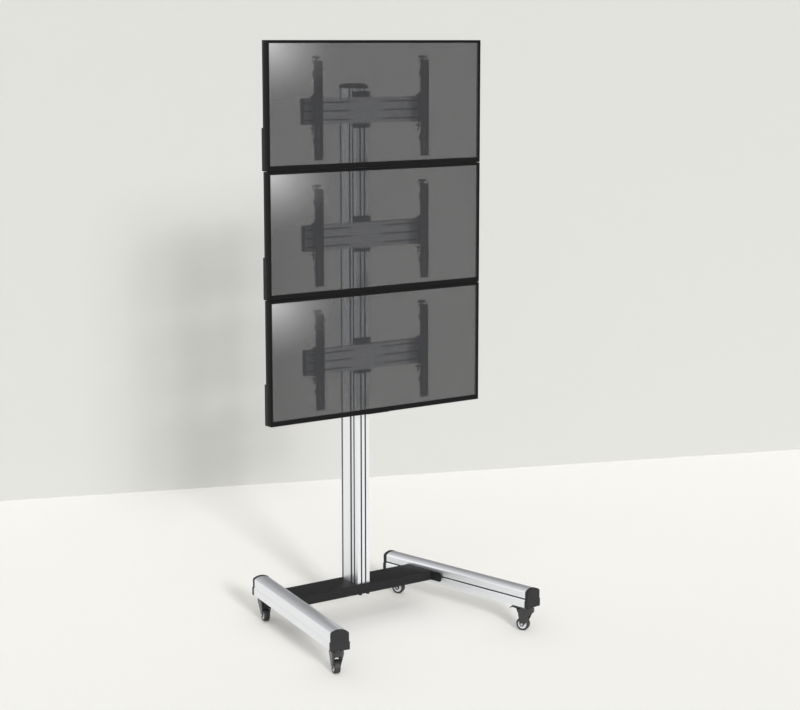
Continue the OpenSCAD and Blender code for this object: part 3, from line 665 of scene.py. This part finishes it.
def heads(name, points, turn, sizes, finish, slot_name, body, sides=24):
    """Screw heads at the given points; turn is the Euler angle that takes +Z out of the surface."""
    mesh = bpy.data.meshes.new(name + "_points")
    mesh.from_pydata([tuple(p) for p in points], [], [])
    seed = bpy.data.objects.new(name + "_points", mesh)
    scene.collection.objects.link(seed)
    modifier = seed.modifiers.new("nodes", "NODES")
    modifier.node_group = screw_heads
    values = {**sizes, "Sides": sides, "Turn": tuple(turn), "Finish": finish}
    for item in screw_heads.interface.items_tree:
        if item.in_out == "INPUT" and item.name in values:
            modifier[item.identifier] = values[item.name]
    made = bpy.data.meshes.new_from_object(seed.evaluated_get(bpy.context.evaluated_depsgraph_get()))
    made.name = name
    bpy.data.objects.remove(seed)
    link(name, made, None, slot_name, body)


for corner in corners:
    roll = joints["roll_" + corner]
    axis = Vector(roll["axis"]).normalized()
    for end, label in ((1, "a"), (-1, "b")):
        outward = (axis * end).to_track_quat("Z", "Y").to_euler()
        spot = Vector(roll["pos_m"]) + axis * end * hood_half
        heads(f"axle_nut_{corner}_{label}", [spot], outward, axle_nut, zinc, "zinc_steel",
              body_with("caster_fork_" + corner), sides=6)


# Clamps
# Folded black steel clamps hug the column's front.
# Socket screws through their cheeks hold them on the column.
steel_coat = coated("steel_powder_coat", (0.018, 0.018, 0.0185), roughness=0.45, gloss=0.2)
clamp_edge = 0.0010
softened("upper_clamps", clamp_edge, steel_coat, "black_steel")
softened("lower_clamp", clamp_edge, steel_coat, "black_steel")
blacking = coated("screw_blacking", (0.035, 0.035, 0.037), roughness=0.32, metallic=0.6)
clamp_half = 0.040
cheek_screw = {"Radius": 0.0052, "Height": 0.0032, "Socket": 0.0026}
cheek_screw_y = 0.169
cheek_screw_rise = 0.069
low_low, low_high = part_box("lower_clamp")
upper_low, upper_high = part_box("upper_clamps")
half_height = (low_high.z - low_low.z) / 2
clamp_middles = {"top": upper_high.z - half_height, "mid": upper_low.z + half_height,
                 "low": low_low.z + half_height}
for level, middle in clamp_middles.items():
    body = body_with("lower_clamp" if level == "low" else "upper_clamps")
    for side, label in ((-1, "left"), (1, "right")):
        spots = [(side * clamp_half, cheek_screw_y, middle + rise)
                 for rise in (-cheek_screw_rise, cheek_screw_rise)]
        heads(f"clamp_screws_{level}_{label}", spots, (0, side * math.pi / 2, 0), cheek_screw, blacking,
              "dark_bolt", body)


# Rails
# Flat aluminium extrusions with three slots along the front.
# Short black bolts in three rows fix them to the clamps, and the arms hook over them.
# The faces inside their slots get the same painted shade.
levels = ["top", "mid", "low"]
rail_silver = (0.60, 0.605, 0.62)
rail_bolt = {"Radius": 0.0032, "Height": 0.0013, "Socket": 0.0016}
rail_bolt_x = (-0.084, -0.046, 0.0, 0.046, 0.084)
rail_row_pitch = 0.040
rail_slot_depth = 0.0015
rail_end_bolt_x = 0.332
rail_end_bolt_depth = 0.0025
rail_finish = anodised("rail_anodising", "X", colour=rail_silver)
rail_shade = anodised("rail_recess", "X", 0.0, painted_shade_colour, painted_shade_roughness)
facing_viewer = (math.pi / 2, 0, 0)
for level in levels:
    low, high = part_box("rail_" + level)

    def in_rail_slot(spot, low=low, high=high):
        """Tells whether a place lies inside one of the rail's slots, where shade is painted."""
        inside_z = low.z + recess_depth < spot.z < high.z - recess_depth
        return inside_z and low.y + 2 * recess_depth < spot.y < high.y - recess_depth

    smoothed("rail_" + level, rail_finish, "anodised_aluminium", rail_shade, in_rail_slot)
for level in levels:
    low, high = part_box("rail_" + level)
    middle = (low.z + high.z) / 2
    rows = [middle + step * rail_row_pitch for step in (-1, 0, 1)]
    spots = [(x, low.y + rail_slot_depth, z) for z in rows for x in rail_bolt_x]
    spots += [(side * rail_end_bolt_x, low.y + rail_end_bolt_depth, middle) for side in (-1, 1)]
    heads(f"rail_bolts_{level}", spots, facing_viewer, rail_bolt, blacking, "dark_bolt",
          body_with("rail_" + level))


# Arms
# Laser-cut and folded black steel, powder-coated.
# A hanger hooks over the rail, and a flat strip stands in front of it.
arm_coat = coated("arm_powder_coat", (0.016, 0.016, 0.0165), roughness=0.45, gloss=0.2)
hanger_edge, strip_edge = 0.0005, 0.0004
for level in levels:
    softened("hangers_" + level, hanger_edge, arm_coat, "black_steel", segments=1)
    softened("strips_" + level, strip_edge, arm_coat, "black_steel", segments=1)


# Knobs
# Black plastic knobs moulded on steel screws.
# Their domed rims have flutes for the fingers.
knob_plastic = coated("knob_plastic", (0.022, 0.022, 0.022), roughness=0.42)
screw_steel = coated("screw_steel", (0.45, 0.45, 0.46), roughness=0.32, metallic=0.9)
screw_r = 0.004
knob_sides, screw_sides = 96, 32
screw_taper_r, screw_taper = 0.0034, 0.001
height_screw_tip, height_screw_top = -0.034, 0.0003
height_neck = [(0.0064, 0.0003), (0.0064, 0.0075), (0.0080, 0.0090)]
height_rim = arc_points(0.0170, 0.0120, 0.003, -90, 0, 4) + arc_points(0.0150, 0.0150, 0.005, 0, 90, 6)
height_crown = [(0.008, 0.0204)]
height_flutes = {"flutes": 16, "flute_depth": 0.00035,
                 "fluted": range(len(height_neck), len(height_neck) + len(height_rim) - 1)}
depth_screw_end_y, depth_screw_top = 0.0604, -0.002
depth_neck = [(0.0068, -0.002), (0.0068, -0.0001)]
depth_rim = [(0.0165, 0.0), (0.0180, 0.0015), (0.0180, 0.0060)] + arc_points(0.0130, 0.006, 0.005, 0, 80, 6)
depth_crown = [(0.006, 0.0113)]
depth_flutes = {"flutes": 24, "flute_depth": 0.00045,
                "fluted": range(len(depth_neck) + 1, len(depth_neck) + len(depth_rim))}


def knob_on_screw(node, spot, axis, profile, flutes, screw_tip, screw_top):
    """A fluted knob and its screw; the screw's ends are given along the axis, from the knob's middle."""
    knob = lathe("knob", profile, spot, axis, knob_sides, **flutes)
    shank = lathe("shank", [(screw_taper_r, screw_tip), (screw_r, screw_tip + screw_taper),
                            (screw_r, screw_top)], spot, axis, screw_sides)
    join_as(node + "_finished", [(knob, knob_plastic), (shank, screw_steel)], "black_plastic",
            body_with(node), node)


for level in levels:
    for side in ("left", "right"):
        spot = joints[f"height_turn_{level}_{side}"]["pos_m"]
        knob_on_screw(f"height_knob_{level}_{side}", spot, (0, 0, 1), height_neck + height_rim + height_crown,
                      height_flutes, height_screw_tip, height_screw_top)
        for height in ("upper", "lower"):
            spot = joints[f"depth_turn_{level}_{side}_{height}"]["pos_m"]
            knob_on_screw(f"depth_knob_{level}_{side}_{height}", spot, (0, 1, 0),
                          depth_neck + depth_rim + depth_crown, depth_flutes,
                          depth_screw_end_y - spot[1], depth_screw_top)


# Displays
# A slim black frame holds a see-through dark panel; a smoked cover closes the back, so the
# stand shows through. Each shell is tinted once, on the side that faces the eye.
# Each panel carries a painted highlight, a pale sheen painted into its upper left corner.
panel_tint = (0.034, 0.035, 0.037)
panel_cover, panel_roughness = 0.865, 0.35
# The sheen is a painted highlight: a pale colour painted into each panel from its upper left corner.
painted_sheen_reach = (0.38, 0.29)
painted_sheen_colour = (0.34, 0.34, 0.35)
smoke_tint = (0.034, 0.034, 0.035)
smoke_cover, smoke_roughness = 0.80, 0.4
inner_cover = 0.05
cover_edge = 0.0018
cover_rim = 0.0019
facing_rear = 0.7
sheet_gloss = 0.1
light_share = 0.12
bezel_side, bezel_low = 0.013, 0.024
bezel_corner, lip_corner = 0.003, 0.001
corner_steps, lip_steps = 4, 3
bezel_round, lip_round = 0.0015, 0.0006
frame_wall = 0.005
lip_t = 0.003
tab_inset, tab_drop, tab_rise = 0.535, 0.0016, 0.571
tab_round = 0.004
tab_bevel = 0.0005
tab_rear, tab_front = 0.001, -0.0006


def see_through(name, colour, cover, roughness):
    """Tinted sheet: its cover is the share that it hides, on faces towards the eye; light passes it."""
    made, tree, shader = new_material(name)
    shader.inputs["Base Color"].default_value = (*colour, 1)
    shader.inputs["Roughness"].default_value = roughness
    shader.inputs["Specular IOR Level"].default_value = sheet_gloss
    path = place_node(tree, "ShaderNodeLightPath", -600, -200)
    held = place_node(tree, "ShaderNodeMapRange", -400, -200, To_Min=light_share, To_Max=1.0)
    share = worked_out(tree, "MULTIPLY", -200, 0, seen_from_front(tree, -600), cover)
    hidden = worked_out(tree, "MULTIPLY", -20, 0, share, held.outputs["Result"])
    wire(tree, (path.outputs["Is Camera Ray"], held.inputs["Value"]), (hidden, shader.inputs["Alpha"]))
    return made


def panel_finish(level):
    """The panel's tint, with a painted highlight: a pale sheen painted into its colour, fading from the upper left
    corner.
    """
    made = see_through("panel_glass_" + level, panel_tint, panel_cover, panel_roughness)
    tree = made.node_tree
    low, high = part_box("screen_" + level)
    corner = Vector((low.x + bezel_side, low.y, high.z - bezel_side))
    scale = Vector((1 / painted_sheen_reach[0], 0, 1 / painted_sheen_reach[1]))
    # Painted highlight: the panel's colour turns paler towards its upper left corner.
    painted_sheen_fade = place_node(tree, "ShaderNodeTexGradient", -850, -200)
    painted_sheen_fade.gradient_type = "QUADRATIC_SPHERE"
    tint = place_node(tree, "ShaderNodeMix", -500, -200)
    tint.data_type = "RGBA"
    tint.inputs["A"].default_value = (*panel_tint, 1)
    tint.inputs["B"].default_value = (*painted_sheen_colour, 1)
    from_corner = object_vector(tree, scale=scale, shift=-Vector(a * b for a, b in zip(corner, scale)))
    wire(tree, (from_corner, painted_sheen_fade.inputs["Vector"]), (painted_sheen_fade.outputs["Fac"], tint.inputs["Factor"]),
         (tint.outputs["Result"], tree.nodes["Principled BSDF"].inputs["Base Color"]))
    return made


def outline(low, high, inset, radius, y):
    """A rounded rectangle facing the viewer, set in from a box's left, right, bottom and top."""
    left, right, bottom, top = (low.x + inset[0], high.x - inset[1], low.z + inset[2], high.z - inset[3])
    middles = [(right - radius, bottom + radius, -90), (right - radius, top - radius, 0),
               (left + radius, top - radius, 90), (left + radius, bottom + radius, 180)]
    points = []
    for x, z, start in middles:
        points += [(px, y, pz) for px, pz in arc_points(x, z, radius, start, start + 90, corner_steps)]
    return points


def bezel_mesh(low, high):
    """The frame: outer sides, rounded front edge, lip round the panel and inner walls."""
    lip = (bezel_side, bezel_side, bezel_low, bezel_side)
    rings = [outline(low, high, (0,) * 4, bezel_corner, high.y)]
    for inset, step in arc_points(bezel_round, bezel_round, bezel_round, 180, 270, corner_steps):
        rings.append(outline(low, high, (inset,) * 4, bezel_corner, low.y + step))
    for inset, step in arc_points(-lip_round, lip_round, lip_round, 270, 360, lip_steps):
        rings.append(outline(low, high, tuple(side + inset for side in lip), lip_corner, low.y + step))
    rings.append(outline(low, high, lip, lip_corner, low.y + lip_t))
    rings.append(outline(low, high, (frame_wall,) * 4, lip_corner, low.y + lip_t))
    rings.append(outline(low, high, (frame_wall,) * 4, lip_corner, high.y))
    return lofted("frame", rings, closed=True)


def sensor_tab(low, high):
    """The small window that hangs from the middle of the lower bezel, with its front edge taken off."""
    rear = outline(low, high, (tab_inset, tab_inset, -tab_drop, tab_rise), tab_round, low.y + tab_rear)
    front = outline(low, high, (tab_inset + tab_bevel, tab_inset + tab_bevel, tab_bevel - tab_drop,
                                tab_rise + tab_bevel), tab_round, low.y + tab_front)
    return lofted("sensor_window", [rear, front])


frame_plastic = coated("frame_plastic", (0.006, 0.006, 0.006), roughness=0.45, gloss=0.08)
window_gloss = coated("sensor_window", (0.004, 0.004, 0.004), roughness=0.3, bump=0.0, gloss=0.1)
cover_sides = see_through("cover_side_plastic", (0.026, 0.026, 0.026), cover=1.0, roughness=0.5)
smoked = see_through("smoked_cover", smoke_tint, smoke_cover, smoke_roughness)
cover_inside = see_through("cover_inside", smoke_tint, inner_cover, smoke_roughness)
for level in levels:
    display = body_with("frame_" + level)
    low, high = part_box("frame_" + level)
    link(f"frame_{level}_finished", bezel_mesh(low, high), frame_plastic, "bezel_plastic", display,
         "frame_" + level)
    dress("screen_" + level, panel_finish(level))
    cover_low, cover_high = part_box("rear_cover_" + level)
    cover = softened("rear_cover_" + level, cover_edge, smoked, "smoked_cover", joined=False)
    cover.data.materials.append(cover_sides)
    cover.data.materials.append(cover_inside)
    for face in cover.data.polygons:
        spot = face.center
        from_side = min(spot.x - cover_low.x, cover_high.x - spot.x,
                        spot.z - cover_low.z, cover_high.z - spot.z)
        if from_side < cover_rim:
            face.material_index = 1
        elif face.normal.y < facing_rear:
            face.material_index = 2
    link(f"sensor_window_{level}", sensor_tab(low, high), window_gloss, "bezel_plastic", display)
